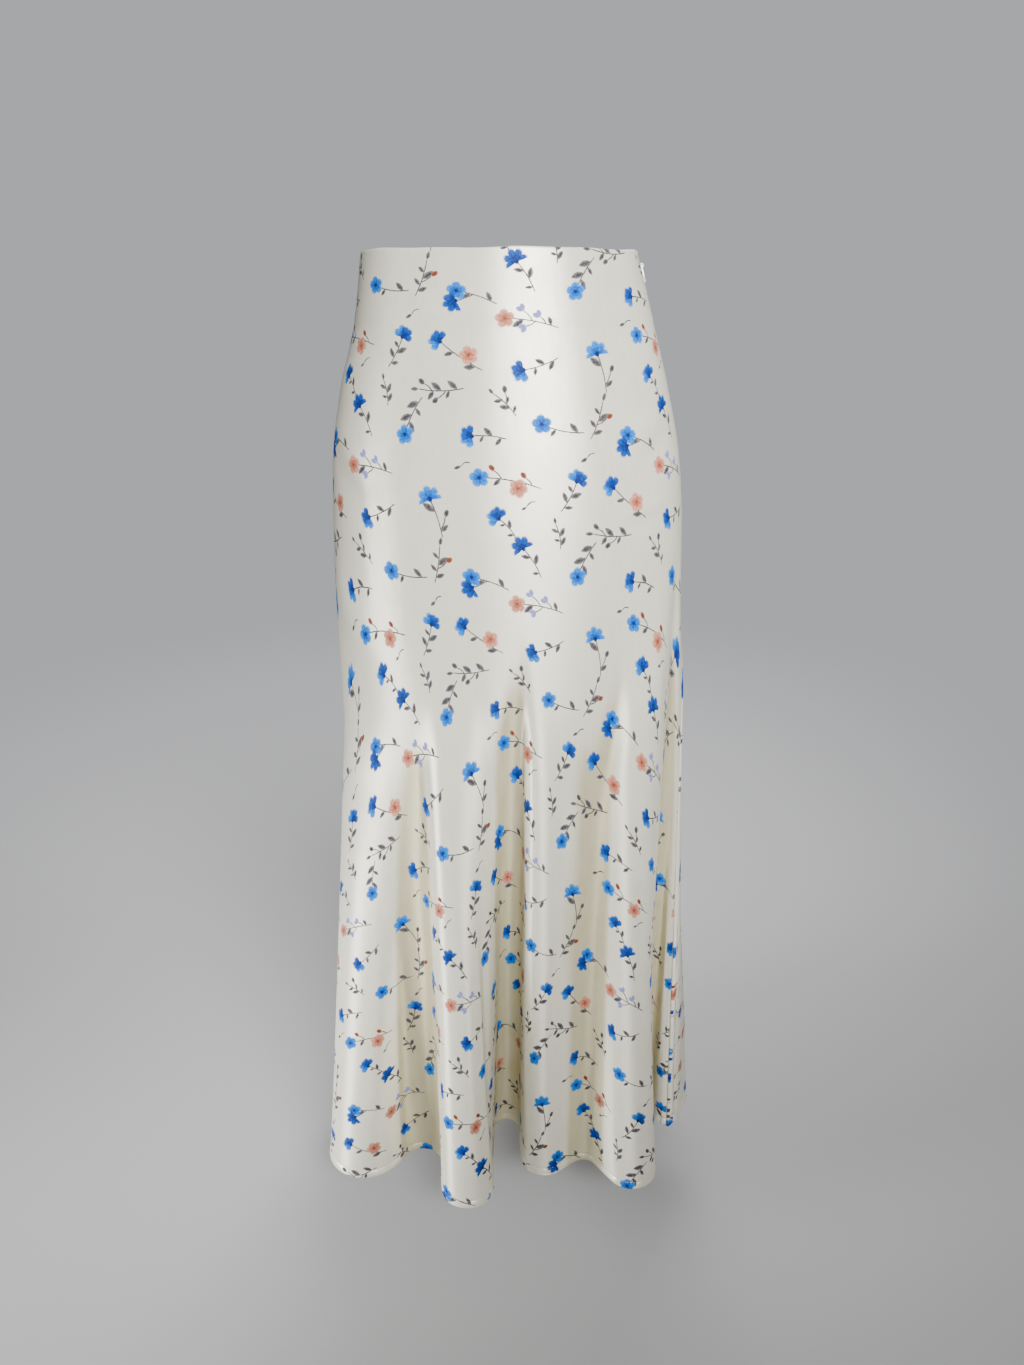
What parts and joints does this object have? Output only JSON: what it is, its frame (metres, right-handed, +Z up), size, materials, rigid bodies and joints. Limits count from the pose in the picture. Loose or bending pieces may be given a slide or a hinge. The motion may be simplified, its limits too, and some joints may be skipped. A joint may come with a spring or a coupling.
{
  "type": "mermaid skirt",
  "caption": "Long fitted satin skirt that flares into flutes from the thigh, with waist facings, a narrow hem and a side zip, in its worn shape.",
  "frame": {"origin": "centre of the waist opening, level with the waist edge", "axes": "+Z up, +X to the wearer's left, -Y to the front"},
  "size_m": [0.4297, 0.3549, 0.925],
  "materials": {
    "satin": "smooth satin, ivory ground with a small scattered flower print, soft sheen",
    "facing": "the same printed satin, its matt wrong side against the body",
    "hem": "the same satin, turned up twice and topstitched",
    "zip_tape": "fine knitted polyester tape, off-white",
    "zip_chain": "closed nylon coil, off-white",
    "zip_metal": "small die-cast slider and drop pull, enamelled off-white"
  },
  "bodies": {
    "skirt": {"front_panel": "satin", "back_panel": "satin", "front_facing": "facing", "back_facing": "facing", "front_hem": "hem", "back_hem": "hem", "zip_tape_front": "zip_tape", "zip_tape_back": "zip_tape", "zip_chain": "zip_chain", "zip_slider": "zip_metal"},
    "pull": {"zip_pull": "zip_metal"}
  },
  "joints": [
    {"name": "pull_hinge", "type": "hinge", "parent": "skirt", "child": "pull", "pos_m": [0.12706, 0, -0.01169], "axis": [0, -1, 0], "range_deg": [0, 165]}
  ]
}
